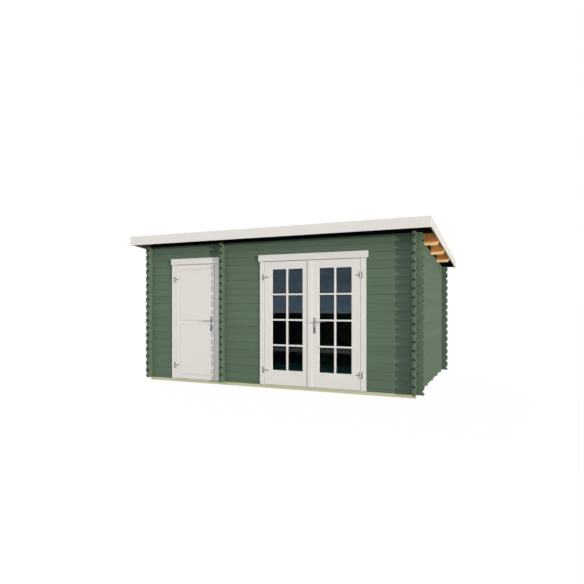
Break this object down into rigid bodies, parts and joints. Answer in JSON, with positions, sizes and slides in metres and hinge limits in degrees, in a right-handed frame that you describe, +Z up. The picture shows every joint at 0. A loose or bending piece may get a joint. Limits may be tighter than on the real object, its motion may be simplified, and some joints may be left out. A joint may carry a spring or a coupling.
{
  "type": "log cabin with store room",
  "caption": "Pent-roof log cabin with a glazed double door to the main room and a panelled door to a narrow store, on timber bearers.",
  "frame": {"origin": "on the ground, under the centre of the cabin's footprint", "axes": "+X to the right seen from the front, +Y to the back, +Z up; the doors are in the -Y wall"},
  "size_m": [4.952, 3.48, 2.434],
  "materials": {
    "green_logs": "green stain on planed spruce logs",
    "bare_pine": "planed, untreated",
    "treated_pine": "pressure treated, pale green-yellow",
    "floor_boards": "planed boards",
    "dark_boards": "near-black stain",
    "felt": "mineral-faced roofing felt",
    "white_paint": "white opaque paint",
    "glass": "clear sealed unit",
    "hinge_metal": "zinc-plated steel",
    "handle_metal": "satin steel"
  },
  "bodies": {
    "cabin": {"front_wall_even_logs": "green_logs", "front_wall_odd_logs": "green_logs", "back_wall_even_logs": "green_logs", "back_wall_odd_logs": "green_logs", "left_wall_even_logs": "green_logs", "left_wall_odd_logs": "green_logs", "right_wall_even_logs": "green_logs", "right_wall_odd_logs": "green_logs", "partition_even_logs": "green_logs", "partition_odd_logs": "green_logs", "roof_purlins": "bare_pine", "foundation_bearers": "treated_pine", "main_room_floor": "floor_boards", "store_floor": "floor_boards", "eaves_boards": "dark_boards", "roof_deck": "bare_pine", "roof_felt": "felt", "rear_felt_lap": "felt", "front_fascia": "white_paint", "rear_fascia": "white_paint", "bargeboards": "white_paint", "store_door_jambs": "white_paint", "store_door_head": "white_paint", "store_door_threshold": "white_paint", "store_door_casings": "white_paint", "store_door_head_trim": "white_paint", "double_door_jambs": "white_paint", "double_door_head": "white_paint", "double_door_threshold": "white_paint", "double_door_casings": "white_paint", "double_door_head_trim": "white_paint", "hinge_pins": "hinge_metal"},
    "store_door": {"store_leaf": "white_paint", "store_hinge_straps": "hinge_metal", "store_handle_plates": "handle_metal"},
    "store_handle": {"store_lever": "handle_metal"},
    "left_door": {"left_leaf": "white_paint", "left_glass": "glass", "left_hinge_straps": "hinge_metal"},
    "right_door": {"right_leaf": "white_paint", "right_glass": "glass", "meeting_strip": "white_paint", "right_hinge_straps": "hinge_metal", "right_handle_plates": "handle_metal"},
    "right_handle": {"right_lever": "handle_metal"}
  },
  "joints": [
    {"name": "store_door_swing", "type": "hinge", "parent": "cabin", "child": "store_door", "pos_m": [-1.7045, -1.5255, 1], "axis": [0, 0, -1], "range_deg": [0, 105]},
    {"name": "left_door_swing", "type": "hinge", "parent": "cabin", "child": "left_door", "pos_m": [-0.0485, -1.5255, 1], "axis": [0, 0, -1], "range_deg": [0, 105]},
    {"name": "right_door_swing", "type": "hinge", "parent": "cabin", "child": "right_door", "pos_m": [1.4705, -1.5255, 1], "axis": [0, 0, 1], "range_deg": [0, 105]},
    {"name": "store_handle_turn", "type": "hinge", "parent": "store_door", "child": "store_handle", "pos_m": [-1.008, -1.498, 1.022], "axis": [0, -1, 0], "range_deg": [0, 40], "stiffness_Nm_per_rad": 1, "springref_deg": -22.92},
    {"name": "right_handle_turn", "type": "hinge", "parent": "right_door", "child": "right_handle", "pos_m": [0.775, -1.498, 1.022], "axis": [0, 1, 0], "range_deg": [0, 40], "stiffness_Nm_per_rad": 1, "springref_deg": -22.92}
  ]
}
